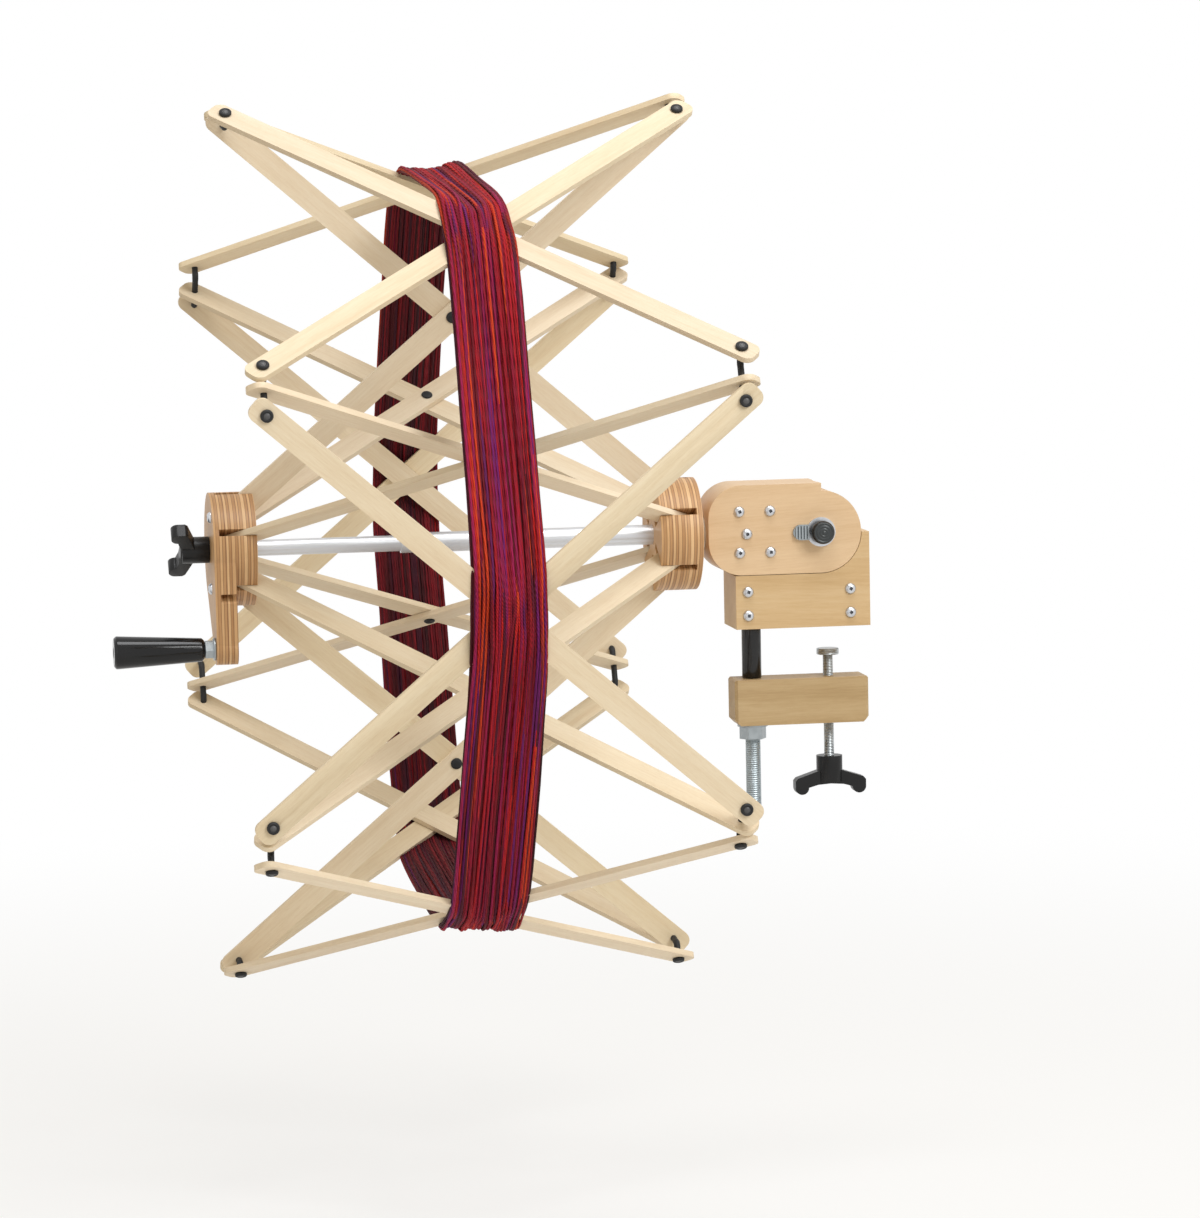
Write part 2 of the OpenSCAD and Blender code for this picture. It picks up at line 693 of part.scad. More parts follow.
function strand_ring(k) =
    let (last = len(strand) - 1, t = strand[min(k + 1, last)] - strand[max(k - 1, 0)],
         e = cross(t, [1, 0, 0]) / norm(cross(t, [1, 0, 0])))
    [for (s = [0:SIDES - 1])
        let (a = s * 360 / SIDES) strand[k] + loop_d / 2 * (cos(a) * [1, 0, 0] + sin(a) * e)];
module yarn_skein() {
    rings = len(strand);
    points = [for (k = [0:rings - 1]) each strand_ring(k)];
    walls = [for (k = [0:rings - 2], s = [0:SIDES - 1])
        let (a = k * SIDES + s, b = k * SIDES + (s + 1) % SIDES)
        each [[a, b, b + SIDES], [a, b + SIDES, a + SIDES]]];
    cap = [for (s = [1:SIDES - 2]) [0, s + 1, s]];
    end = (rings - 1) * SIDES;
    far_cap = [for (s = [1:SIDES - 2]) [end, end + s, end + s + 1]];
    color(crimson) polyhedron(points, concat(walls, cap, far_cap));
}

base_block();
base_screws();
clamp_rod();
rod_sleeve();
clamp_jaw();
clamp_nut();
clamp_screw();
clamp_wing_knob();
head_block();
head_screws();
axle_bushes();
pivot_bolt();
pivot_knob();
drive_hub();
drive_hinge_pins();
outer_tube();
crank_hub();
free_hinge_pins();
inner_tube();
lock_drawbar();
lock_knob();
crank_bolt();
crank_handle();
yarn_skein();
for (i = arms) drive_spoke(i);
for (i = arms) free_spoke(i);
for (i = arms) free_link(i);
for (i = arms) drive_link(i);
for (i = arms) over_slat(i);
for (i = arms) under_slat(i);
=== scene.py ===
"""Looks of an umbrella swift: wooden lattice, plywood hubs, clamp-on base and a wound skein of yarn."""
import math
import random

import bmesh
import bpy
import numpy as np
from mathutils import Matrix, Vector


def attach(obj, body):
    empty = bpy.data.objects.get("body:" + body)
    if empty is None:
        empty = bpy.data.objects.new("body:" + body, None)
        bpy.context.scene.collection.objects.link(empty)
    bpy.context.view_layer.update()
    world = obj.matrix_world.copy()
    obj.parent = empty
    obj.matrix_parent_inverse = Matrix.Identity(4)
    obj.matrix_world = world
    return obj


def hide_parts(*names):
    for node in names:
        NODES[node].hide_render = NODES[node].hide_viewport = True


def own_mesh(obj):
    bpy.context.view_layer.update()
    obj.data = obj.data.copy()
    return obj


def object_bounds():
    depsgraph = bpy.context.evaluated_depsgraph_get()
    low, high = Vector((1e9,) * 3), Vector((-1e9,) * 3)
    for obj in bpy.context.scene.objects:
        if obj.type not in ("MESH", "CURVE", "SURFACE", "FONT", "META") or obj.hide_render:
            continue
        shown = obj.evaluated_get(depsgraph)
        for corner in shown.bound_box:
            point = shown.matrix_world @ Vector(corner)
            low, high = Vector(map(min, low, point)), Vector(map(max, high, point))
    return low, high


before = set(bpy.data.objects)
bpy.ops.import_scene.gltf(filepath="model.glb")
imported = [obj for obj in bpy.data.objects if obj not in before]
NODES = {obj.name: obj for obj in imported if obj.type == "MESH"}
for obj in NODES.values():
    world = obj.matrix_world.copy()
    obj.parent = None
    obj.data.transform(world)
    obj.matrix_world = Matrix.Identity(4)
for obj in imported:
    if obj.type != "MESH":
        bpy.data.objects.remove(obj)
CAD_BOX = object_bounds()
ARMS = range(1, 7)

# Sizes of the lattice in metres, the same as in the source of the part
SLAT_LEN = 0.470
SLAT_W = 0.019
SLAT_T = 0.0045
SLAT_GAP = 0.0004
CORD_BEND = 0.0055
DISC_T = 0.017
OPEN = math.radians(41)
REST_TURN = 5.5
REACH = 0.015
HINGE_R = math.sqrt(3) * REACH
AXIS_Z = 0.0765
DRIVE_X = -0.1002
FREE_X = DRIVE_X - SLAT_LEN * math.cos(OPEN)
RING_R = HINGE_R + SLAT_LEN * math.sin(OPEN)
HALF_RISE = SLAT_LEN / 2 * math.sin(OPEN)
MID_X = (DRIVE_X + FREE_X) / 2
AXIS = Vector((0, 0, AXIS_Z))
MIDDLE = Vector((MID_X, 0, AXIS_Z))
# Heights of the outer slats over the line between two corners of the ring, and the radius of that line
UNDER_H = CORD_BEND * math.tan(math.pi / 6) + SLAT_GAP / 2
OVER_H = UNDER_H + SLAT_T + SLAT_GAP
CORNER_R = RING_R * math.cos(math.pi / 6) + REACH / 2


def radial(i, step):
    """Directions outward and onward round the axis, at plane i (step 0) or midway to the next (step 0.5)."""
    a = math.radians(REST_TURN + (i - 1 + step) * 60)
    return Vector((0, -math.sin(a), math.cos(a))), Vector((0, -math.cos(a), -math.sin(a)))


# Materials
def new_material(name):
    """A material, its node tree and its shader."""
    mat = bpy.data.materials.new(name)
    mat.use_nodes = True
    nt = mat.node_tree
    return mat, nt, nt.nodes["Principled BSDF"]


def add(nt, kind, **inputs):
    """Adds a node and sets the inputs, or else the settings, of these names."""
    node = nt.nodes.new(kind)
    for key, value in inputs.items():
        if key in node.inputs:
            node.inputs[key].default_value = value
        else:
            setattr(node, key, value)
    return node


def ramp(nt, stops):
    """A colour ramp from (position, colour) pairs."""
    node = nt.nodes.new("ShaderNodeValToRGB")
    el = node.color_ramp.elements
    while len(el) < len(stops):
        el.new(0.5)
    for e, (at, colour) in zip(el, stops):
        e.position = at
        e.color = (*colour, 1)
    return node


# Scale of the wood's noise along the grain and across it, which turns spots into streaks
GRAIN = (4, 60, 60)


def grain_coords(nt, along, normal, offset):
    """Coordinates with X along the wood's grain."""
    d = Vector(along).normalized()
    n = Vector(normal).normalized()
    turn = Matrix((d, n.cross(d), n)).to_euler()
    tc = nt.nodes.new("ShaderNodeTexCoord")
    first = nt.nodes.new("ShaderNodeMapping")
    first.inputs["Rotation"].default_value = turn
    first.inputs["Location"].default_value = offset
    second = nt.nodes.new("ShaderNodeMapping")
    second.inputs["Scale"].default_value = GRAIN
    nt.links.new(tc.outputs["Object"], first.inputs["Vector"])
    nt.links.new(first.outputs["Vector"], second.inputs["Vector"])
    return second.outputs["Vector"]


def wood(name, light, mid, dark, along, normal, offset, rough, pore):
    """Planed wood of three tones, with streaks along its grain and fine dark pores."""
    mat, nt, bsdf = new_material(name)
    link = nt.links.new
    grain = grain_coords(nt, along, normal, offset)
    broad = add(nt, "ShaderNodeTexNoise", Scale=1.2, Detail=3.0, Roughness=0.5, Distortion=0.4)
    fine = add(nt, "ShaderNodeTexNoise", Scale=9.0, Detail=3.5, Roughness=0.6, Distortion=0.2)
    fleck = add(nt, "ShaderNodeTexNoise", Scale=40.0, Detail=2.0, Roughness=0.5)
    for noise in (broad, fine, fleck):
        link(grain, noise.inputs["Vector"])
    mix = add(nt, "ShaderNodeMix", data_type="FLOAT")
    mix.inputs[0].default_value = 0.45
    link(broad.outputs["Fac"], mix.inputs[2])
    link(fine.outputs["Fac"], mix.inputs[3])
    colours = ramp(nt, [(0.3, dark), (0.5, mid), (0.68, light)])
    link(mix.outputs[0], colours.inputs["Fac"])
    pores = ramp(nt, [(0.36, (0.72, 0.6, 0.5)), (0.44, (1, 1, 1))])
    link(fleck.outputs["Fac"], pores.inputs["Fac"])
    tint = add(nt, "ShaderNodeMix", data_type="RGBA", blend_type="MULTIPLY")
    tint.inputs[0].default_value = pore
    link(colours.outputs["Color"], tint.inputs[6])
    link(pores.outputs["Color"], tint.inputs[7])
    link(tint.outputs[2], bsdf.inputs["Base Color"])
    gloss = add(nt, "ShaderNodeMapRange")
    gloss.inputs["To Min"].default_value = rough - 0.08
    gloss.inputs["To Max"].default_value = rough + 0.1
    link(fine.outputs["Fac"], gloss.inputs["Value"])
    link(gloss.outputs["Result"], bsdf.inputs["Roughness"])
    bsdf.inputs["Specular IOR Level"].default_value = 0.22
    bump = add(nt, "ShaderNodeBump", Strength=0.1, Distance=0.0004)
    link(broad.outputs["Fac"], bump.inputs["Height"])
    link(bump.outputs["Normal"], bsdf.inputs["Normal"])
    return mat


# Layers in a plywood disc, and a count that keeps the layer numbers positive on both hubs
PLIES = 7
FIRST_PLY = 40


def plywood(name, start, tone):
    """Plywood whose layers lie across X: end grain and long grain by turns, with dark glue lines between."""
    mat, nt, bsdf = new_material(name)
    link = nt.links.new
    tc = nt.nodes.new("ShaderNodeTexCoord")
    split = nt.nodes.new("ShaderNodeSeparateXYZ")
    link(tc.outputs["Object"], split.inputs["Vector"])
    count = add(nt, "ShaderNodeMath", operation="MULTIPLY_ADD")
    count.inputs[1].default_value = PLIES / DISC_T
    count.inputs[2].default_value = -start * PLIES / DISC_T + FIRST_PLY
    link(split.outputs["X"], count.inputs[0])
    waver = add(nt, "ShaderNodeTexNoise", noise_dimensions="1D", Scale=0.9, Detail=1.0)
    link(count.outputs[0], waver.inputs["W"])
    uneven = add(nt, "ShaderNodeMath", operation="MULTIPLY_ADD")
    uneven.inputs[1].default_value = 0.7
    link(waver.outputs["Fac"], uneven.inputs[0])
    link(count.outputs[0], uneven.inputs[2])
    ply = add(nt, "ShaderNodeMath", operation="FLOOR")
    link(uneven.outputs[0], ply.inputs[0])
    within = add(nt, "ShaderNodeMath", operation="FRACT")
    link(uneven.outputs[0], within.inputs[0])
    turn = add(nt, "ShaderNodeMath", operation="PINGPONG")
    turn.inputs[1].default_value = 1.0
    link(ply.outputs[0], turn.inputs[0])
    chance = add(nt, "ShaderNodeTexWhiteNoise", noise_dimensions="1D")
    link(ply.outputs[0], chance.inputs["W"])
    kind = add(nt, "ShaderNodeMath", operation="MULTIPLY_ADD")
    kind.inputs[1].default_value = 0.45
    link(chance.outputs["Value"], kind.inputs[0])
    half = add(nt, "ShaderNodeMath", operation="MULTIPLY")
    half.inputs[1].default_value = 0.55
    link(turn.outputs[0], half.inputs[0])
    link(half.outputs[0], kind.inputs[2])
    plain = ((0.0, (0.44, 0.235, 0.10)), (0.4, (0.57, 0.335, 0.158)), (0.75, (0.66, 0.413, 0.207)),
             (1.0, (0.74, 0.49, 0.264)))
    layer = ramp(nt, [(at, tuple(c * tone for c in colour)) for at, colour in plain])
    link(kind.outputs[0], layer.inputs["Fac"])
    glue = ramp(nt, [(0.0, (0.25, 0.15, 0.10)), (0.10, (0.34, 0.22, 0.15)), (0.2, (1, 1, 1)),
                     (0.94, (1, 1, 1)), (1.0, (0.5, 0.38, 0.28))])
    link(within.outputs[0], glue.inputs["Fac"])
    squeeze = nt.nodes.new("ShaderNodeMapping")
    squeeze.inputs["Scale"].default_value = (160, 22, 22)
    link(tc.outputs["Object"], squeeze.inputs["Vector"])
    streaks = add(nt, "ShaderNodeTexNoise", Scale=2.0, Detail=5.0, Roughness=0.6, Distortion=0.5)
    link(squeeze.outputs["Vector"], streaks.inputs["Vector"])
    faint = add(nt, "ShaderNodeMapRange")
    faint.inputs["From Min"].default_value = 0.3
    faint.inputs["From Max"].default_value = 0.6
    faint.inputs["To Min"].default_value = 0.55
    faint.inputs["To Max"].default_value = 1.0
    link(streaks.outputs["Fac"], faint.inputs["Value"])
    lines = add(nt, "ShaderNodeMix", data_type="RGBA", blend_type="MULTIPLY")
    link(faint.outputs["Result"], lines.inputs[0])
    link(layer.outputs["Color"], lines.inputs[6])
    link(glue.outputs["Color"], lines.inputs[7])
    shade = ramp(nt, [(0.3, (0.74, 0.66, 0.58)), (0.62, (1.0, 1.0, 1.0))])
    link(streaks.outputs["Fac"], shade.inputs["Fac"])
    tint = add(nt, "ShaderNodeMix", data_type="RGBA", blend_type="MULTIPLY")
    tint.inputs[0].default_value = 0.6
    link(lines.outputs[2], tint.inputs[6])
    link(shade.outputs["Color"], tint.inputs[7])
    link(tint.outputs[2], bsdf.inputs["Base Color"])
    bsdf.inputs["Roughness"].default_value = 0.46
    bump = add(nt, "ShaderNodeBump", Strength=0.15, Distance=0.0004)
    link(streaks.outputs["Fac"], bump.inputs["Height"])
    link(bump.outputs["Normal"], bsdf.inputs["Normal"])
    return mat


def metal(name, colour, rough, scale=(40, 40, 40), spread=0.1, thread=None):
    """Plated or drawn metal with faint cloudy streaks, and a thread along Z where its pitch is given."""
    mat, nt, bsdf = new_material(name)
    link = nt.links.new
    tc = nt.nodes.new("ShaderNodeTexCoord")
    squeeze = nt.nodes.new("ShaderNodeMapping")
    squeeze.inputs["Scale"].default_value = scale
    link(tc.outputs["Object"], squeeze.inputs["Vector"])
    cloud = add(nt, "ShaderNodeTexNoise", Scale=6.0, Detail=4.0, Roughness=0.6)
    link(squeeze.outputs["Vector"], cloud.inputs["Vector"])
    dull = tuple(c * (1 - spread) for c in colour)
    bright = tuple(min(1, c * (1 + spread)) for c in colour)
    tone = ramp(nt, [(0.3, dull), (0.7, bright)])
    link(cloud.outputs["Fac"], tone.inputs["Fac"])
    link(tone.outputs["Color"], bsdf.inputs["Base Color"])
    bsdf.inputs["Metallic"].default_value = 1.0
    gloss = add(nt, "ShaderNodeMapRange")
    gloss.inputs["To Min"].default_value = rough - 0.06
    gloss.inputs["To Max"].default_value = rough + 0.1
    link(cloud.outputs["Fac"], gloss.inputs["Value"])
    link(gloss.outputs["Result"], bsdf.inputs["Roughness"])
    bump = add(nt, "ShaderNodeBump", Strength=0.08, Distance=0.0003)
    link(cloud.outputs["Fac"], bump.inputs["Height"])
    last = bump
    if thread:
        split = nt.nodes.new("ShaderNodeSeparateXYZ")
        link(tc.outputs["Object"], split.inputs["Vector"])
        turns = add(nt, "ShaderNodeMath", operation="MULTIPLY")
        turns.inputs[1].default_value = 2 / thread
        link(split.outputs["Z"], turns.inputs[0])
        tooth = add(nt, "ShaderNodeMath", operation="PINGPONG")
        tooth.inputs[1].default_value = 1.0
        link(turns.outputs[0], tooth.inputs[0])
        last = add(nt, "ShaderNodeBump", Strength=0.9, Distance=thread * 0.5)
        link(tooth.outputs[0], last.inputs["Height"])
        link(bump.outputs["Normal"], last.inputs["Normal"])
    link(last.outputs["Normal"], bsdf.inputs["Normal"])
    return mat


def moulded(name, colour, rough, grain=900.0, strength=0.12, shine=0.5):
    """Moulded plastic or rubber with a fine skin and a cloudy tone."""
    mat, nt, bsdf = new_material(name)
    bsdf.inputs["Specular IOR Level"].default_value = shine
    link = nt.links.new
    tc = nt.nodes.new("ShaderNodeTexCoord")
    speck = add(nt, "ShaderNodeTexNoise", Scale=grain, Detail=3.0, Roughness=0.55)
    cloud = add(nt, "ShaderNodeTexNoise", Scale=35.0, Detail=4.0, Roughness=0.6)
    link(tc.outputs["Object"], speck.inputs["Vector"])
    link(tc.outputs["Object"], cloud.inputs["Vector"])
    dull = tuple(c * 0.75 for c in colour)
    bright = tuple(min(1, c * 1.35) for c in colour)
    tone = ramp(nt, [(0.3, dull), (0.72, bright)])
    link(cloud.outputs["Fac"], tone.inputs["Fac"])
    link(tone.outputs["Color"], bsdf.inputs["Base Color"])
    gloss = add(nt, "ShaderNodeMapRange")
    gloss.inputs["To Min"].default_value = rough - 0.07
    gloss.inputs["To Max"].default_value = rough + 0.1
    link(cloud.outputs["Fac"], gloss.inputs["Value"])
    link(gloss.outputs["Result"], bsdf.inputs["Roughness"])
    bump = add(nt, "ShaderNodeBump", Strength=strength, Distance=0.0002)
    link(speck.outputs["Fac"], bump.inputs["Height"])
    link(bump.outputs["Normal"], bsdf.inputs["Normal"])
    return mat


def dress(node, mat, bevel=0.0, segments=2):
    """Gives a carried-over solid its material, and eases its edges where a width is given."""
    obj = NODES[node]
    obj.data.materials.clear()
    obj.data.materials.append(mat)
    if bevel:
        weld = obj.modifiers.new("weld", "WELD")
        weld.merge_threshold = 0.00002
        merge = obj.modifiers.new("merge", "DECIMATE")
        merge.decimate_type = "DISSOLVE"
        merge.angle_limit = math.radians(0.5)
        ease = obj.modifiers.new("ease", "BEVEL")
        ease.limit_method = "ANGLE"
        ease.angle_limit = math.radians(40)
        ease.width = bevel
        ease.segments = segments
        ease.use_clamp_overlap = True
        ease.harden_normals = True


BLACK = moulded("black_plastic", (0.007, 0.007, 0.0075), 0.32, shine=0.3)
GLOSSY = moulded("glossy_black", (0.004, 0.004, 0.0044), 0.11, strength=0.01, shine=0.36)
RUBBER = moulded("black_rubber", (0.012, 0.012, 0.013), 0.55, grain=500, strength=0.2, shine=0.35)
SLEEVE = moulded("sleeve_black", (0.006, 0.0055, 0.0055), 0.2, strength=0.03, shine=0.45)
PIN_GREY = moulded("pin_grey", (0.075, 0.075, 0.08), 0.4)
NYLON = moulded("nylon", (0.80, 0.78, 0.70), 0.45)
ZINC = metal("zinc", (0.60, 0.61, 0.63), 0.28)
DULL_ZINC = metal("dull_zinc", (0.36, 0.39, 0.40), 0.34)
# Darker metal for the inside of the screw sockets: painted shade in the recess
SOCKET_PAINTED_SHADE = metal("screw_socket_painted_shade", (0.14, 0.14, 0.15), 0.5)
ROD = metal("zinc_thread", (0.40, 0.45, 0.47), 0.36, thread=0.00175)
SCREW = metal("screw_thread", (0.50, 0.53, 0.54), 0.34, thread=0.00125)
ALU = metal("satin_aluminium", (0.68, 0.69, 0.71), 0.34, scale=(4, 200, 200), spread=0.05)

# Slats: each has its own cut of pale maple, with the grain along it
rng = random.Random(7)
for i in ARMS:
    out, side = radial(i, 0)
    n_out, n_side = radial(i, 0.5)
    x = Vector((1, 0, 0))
    cuts = (
        ("drive_spoke", -math.cos(OPEN) * x + math.sin(OPEN) * out, side),
        ("free_spoke", math.cos(OPEN) * x + math.sin(OPEN) * out, side),
        ("over_slat", math.cos(OPEN) * x + math.sin(OPEN) * n_side, n_out),
        ("under_slat", -math.cos(OPEN) * x + math.sin(OPEN) * n_side, n_out),
    )
    for kind, along, face in cuts:
        v = rng.uniform(0.93, 1.05)
        warm = rng.uniform(-0.02, 0.02)
        light = (0.85 * v, 0.745 * v, 0.58 * v - warm)
        mid = (0.80 * v, 0.68 * v, 0.505 * v - warm)
        dark = (0.73 * v, 0.59 * v, 0.415 * v - warm)
        offset = (rng.uniform(-5, 5), rng.uniform(-5, 5), rng.uniform(-5, 5))
        name = "%s_%d" % (kind, i)
        maple = wood("maple_" + name, light, mid, dark, along, face, offset, rough=0.48, pore=0.14)
        dress(name, maple, 0.0005)
    dress("free_link_%d" % i, RUBBER)
    dress("drive_link_%d" % i, RUBBER)

HEAD_WOOD = wood("head_maple", (0.765, 0.57, 0.375), (0.72, 0.52, 0.33), (0.655, 0.455, 0.27),
                 (1, 0, 0.06), (0, 1, 0), (1.7, 0.4, 2.2), rough=0.42, pore=0.12)
BASE_WOOD = wood("base_maple", (0.69, 0.515, 0.31), (0.64, 0.455, 0.255), (0.57, 0.385, 0.20),
                 (1, 0, -0.03), (0, 1, 0), (4.1, 2.4, 0.3), rough=0.42, pore=0.12)
# The jaw is maple like the base, painted darker as shade from the table top it clamps under
JAW_WOOD_PAINTED_SHADE = wood("jaw_maple_painted_shade", (0.55, 0.41, 0.24), (0.495, 0.355, 0.195), (0.415, 0.285, 0.145),
                (1, 0, 0.01), (0, 1, 0), (2.3, 7.4, 1.3), rough=0.45, pore=0.15)
dress("head_block", HEAD_WOOD, 0.0014, 3)
dress("base_block", BASE_WOOD, 0.0010, 3)
dress("clamp_jaw", JAW_WOOD_PAINTED_SHADE, 0.0010, 3)
dress("drive_hub", plywood("drive_plywood", DRIVE_X, 1.06), 0.0012, 3)
dress("crank_hub", plywood("crank_plywood", FREE_X, 1.0), 0.0012, 3)
for node in ("pivot_bolt", "drive_hinge_pins", "free_hinge_pins", "lock_drawbar"):
    dress(node, ZINC)
for node in ("crank_bolt", "clamp_nut"):
    dress(node, DULL_ZINC, 0.0004)
dress("clamp_rod", ROD, 0.0008)
dress("clamp_screw", SCREW, 0.0006)
dress("outer_tube", ALU)
dress("inner_tube", ALU)
dress("axle_bushes", NYLON)
dress("rod_sleeve", SLEEVE, 0.0005)
for node in ("clamp_wing_knob", "lock_knob", "pivot_knob"):
    dress(node, BLACK, 0.0012, 3)
dress("crank_handle", GLOSSY, 0.0006)


# New pieces
def mesh_object(name, bm, mat, body, smooth=True):
    """Turns a mesh being built into a piece that rides on a body."""
    me = bpy.data.meshes.new(name)
    bm.to_mesh(me)
    bm.free()
    for p in me.polygons:
        p.use_smooth = smooth
    me.materials.append(mat)
    obj = bpy.data.objects.new(name, me)
    bpy.context.scene.collection.objects.link(obj)
    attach(obj, body)
    return obj


def lathe(bm, profile, matrix, segments=32):
    """Turns a profile of (radius, height) round the local Z axis."""
    rings = []
    for r, z in profile:
        if r < 1e-7:
            rings.append([bm.verts.new(matrix @ Vector((0, 0, z)))])
        else:
            rings.append([bm.verts.new(matrix @ Vector((r * math.cos(a), r * math.sin(a), z)))
                          for a in (2 * math.pi * k / segments for k in range(segments))])
    for low, high in zip(rings, rings[1:]):
        for k in range(segments):
            a, b = low[k % len(low)], low[(k + 1) % len(low)]
            c, d = high[(k + 1) % len(high)], high[k % len(high)]
            face = []
            for v in (a, b, c, d):
                if v not in face:
                    face.append(v)
            if len(face) > 2:
                bm.faces.new(face)


def facing(direction, at):
    """Places local Z along a direction, with the origin at a point."""
    z = Vector(direction).normalized()
    return Matrix.Translation(at) @ z.to_track_quat("Z", "Y").to_matrix().to_4x4()


# Black button heads over the rivets where spokes cross, as (radius, height), and where they sit on a spoke
RIVET_HEAD = [(0, 0.0), (0.0043, 0.0), (0.0046, 0.0004), (0.0044, 0.0010), (0.0036, 0.0017),
              (0.0020, 0.0021), (0, 0.0022)]
RIVET_SEAT = SLAT_GAP / 2 + SLAT_T + 0.0001
for i in ARMS:
    out, side = radial(i, 0)
    at = MIDDLE + out * (HINGE_R + HALF_RISE)
    bm = bmesh.new()
    for s in (-1, 1):
        lathe(bm, RIVET_HEAD, facing(side * s, at + side * s * RIVET_SEAT))
    mesh_object("rivet_heads_%d" % i, bm, RUBBER, "free_spoke_%d" % i)


# Wood screws: domed heads with a square socket, whose walls and floor take a darker metal as painted shade in
# the recess
def square_ring(half, z, segments):
    """Points round a square, one for each point of a ring with the same number of segments."""
    ring = []
    for k in range(segments):
        a = 2 * math.pi * k / segments
        r = half / max(abs(math.cos(a)), abs(math.sin(a)))
        ring.append(Vector((r * math.cos(a), r * math.sin(a), z)))
    return ring


def round_ring(r, z, segments):
    """Points round a circle."""
    angles = [2 * math.pi * k / segments for k in range(segments)]
    return [Vector((r * math.cos(a), r * math.sin(a), z)) for a in angles]


def screw_head(bm, at, direction, turn, size=0.0045, segments=32):
    """A domed head of a given radius, whose last two rings are the square socket and its floor."""
    m = facing(direction, at) @ Matrix.Rotation(turn, 4, "Z")
    half, high = size * 0.27, size * 0.62
    shape = [round_ring(size, 0.0, segments), round_ring(size, high * 0.16, segments),
             round_ring(size * 0.93, high * 0.42, segments), round_ring(size * 0.78, high * 0.72, segments),
             round_ring(size * 0.58, high * 0.92, segments), round_ring(size * 0.44, high, segments),
             square_ring(half, high, segments), square_ring(half * 0.92, high - size * 0.34, segments)]
    rings = [[bm.verts.new(m @ v) for v in ring] for ring in shape]
    for n, (low, up) in enumerate(zip(rings, rings[1:])):
        for k in range(segments):
            f = bm.faces.new((low[k], low[(k + 1) % segments], up[(k + 1) % segments], up[k]))
            f.material_index = 1 if n == len(rings) - 2 else 0
    bm.faces.new(rings[-1]).material_index = 1
    bm.faces.new(list(reversed(rings[0])))


# How far round each screw was driven
turns = random.Random(3)


def screw_set(name, body, places, replaced=None):
    """Screw heads at (point, direction) places as one piece."""
    bm = bmesh.new()
    for at, direction in places:
        screw_head(bm, Vector(at), direction, turns.uniform(0, 1.5))
    obj = mesh_object(name, bm, ZINC, body)
    obj.data.materials.append(SOCKET_PAINTED_SHADE)
    obj.data.set_sharp_from_angle(angle=math.radians(40))
    if replaced:
        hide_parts(replaced)


# Middle of the tilt pivot
PIVOT = Vector((0.0151, 0, AXIS_Z))
# Half the width of the head and the base, and the places of the screws on their sides
FACE = 0.026
HEAD_SCREWS = ((-0.066, 0.018), (-0.041, 0.018), (-0.066, -0.015), (-0.041, -0.015), (-0.060, 0))
BASE_SCREWS = [(x, z) for x in (-0.0447, 0.0387) for z in (0.011, 0.030)]
CRANK_SCREW_R = 0.033
CRANK_FACE = AXIS + Vector((FREE_X - DISC_T, 0, 0))
head_places = [((PIVOT.x + u, s * FACE, PIVOT.z + w), (0, s, 0)) for u, w in HEAD_SCREWS for s in (-1, 1)]
base_places = [((x, s * FACE, z), (0, s, 0)) for x, z in BASE_SCREWS for s in (-1, 1)]
crank_places = [(CRANK_FACE + radial(i, 0.5)[0] * CRANK_SCREW_R, (-1, 0, 0)) for i in (1, 3, 5)]
screw_set("head_screw_heads", "head", head_places, "head_screws")
screw_set("base_screw_heads", "base", base_places, "base_screws")
screw_set("crank_face_screws", "crank", crank_places)

# Caps of the link cords: a black ring with a grey pin in it, over each button
CAP_RING = [(0, 0.0), (0.0046, 0.0), (0.0049, 0.0006), (0.0048, 0.0019), (0.0043, 0.0026), (0.0036, 0.0029),
            (0.0029, 0.0027), (0.0024, 0.0023)]
CAP_PIN = [(0.0024, 0.0023), (0.0021, 0.00235), (0.0018, 0.0027), (0.0010, 0.0030), (0, 0.0031)]
CAP_SEAT = SLAT_T + 0.0002
for i in ARMS:
    for kind, x, next_h, last_h in (("free", FREE_X, OVER_H, UNDER_H), ("drive", DRIVE_X, UNDER_H, OVER_H)):
        bm = bmesh.new()
        for sector, sign, h in ((i, -1, next_h), (i - 1, 1, last_h)):
            out, side = radial(sector, 0.5)
            at = AXIS + Vector((x, 0, 0)) + out * (CORNER_R + h + CAP_SEAT) + side * sign * HALF_RISE
            m = facing(out, at)
            lathe(bm, CAP_RING, m, 24)
            first = len(bm.faces)
            lathe(bm, CAP_PIN, m, 24)
            bm.faces.ensure_lookup_table()
            for f in bm.faces[first:]:
                f.material_index = 1
        bmesh.ops.remove_doubles(bm, verts=bm.verts, dist=1e-6)
        cap = mesh_object("%s_link_caps_%d" % (kind, i), bm, RUBBER, "%s_link_%d" % (kind, i))
        cap.data.materials.append(PIN_GREY)

# Pivot: a ringed face on the knob, as (radius, height), and a ribbed zinc tab beside its washer
KNOB_RINGS = [(0, 0.0), (0.0080, 0.0), (0.0083, 0.0003), (0.0080, 0.0009), (0.0070, 0.0009), (0.0067, 0.0005),
              (0.0062, 0.0005), (0.0059, 0.0009), (0.0046, 0.0010), (0.0042, 0.0008), (0.0037, 0.0008),
              (0.0034, 0.0012), (0.0024, 0.0012), (0.0021, 0.0009), (0.0016, 0.0009), (0.0012, 0.0013),
              (0, 0.0014)]
KNOB_FRONT = PIVOT + Vector((0, -0.0394, 0))
KNOB_FACE = moulded("knob_face", (0.026, 0.031, 0.034), 0.3)
bm = bmesh.new()
lathe(bm, KNOB_RINGS, facing((0, -1, 0), KNOB_FRONT), 40)
mesh_object("pivot_knob_face", bm, KNOB_FACE, "pivot_knob")

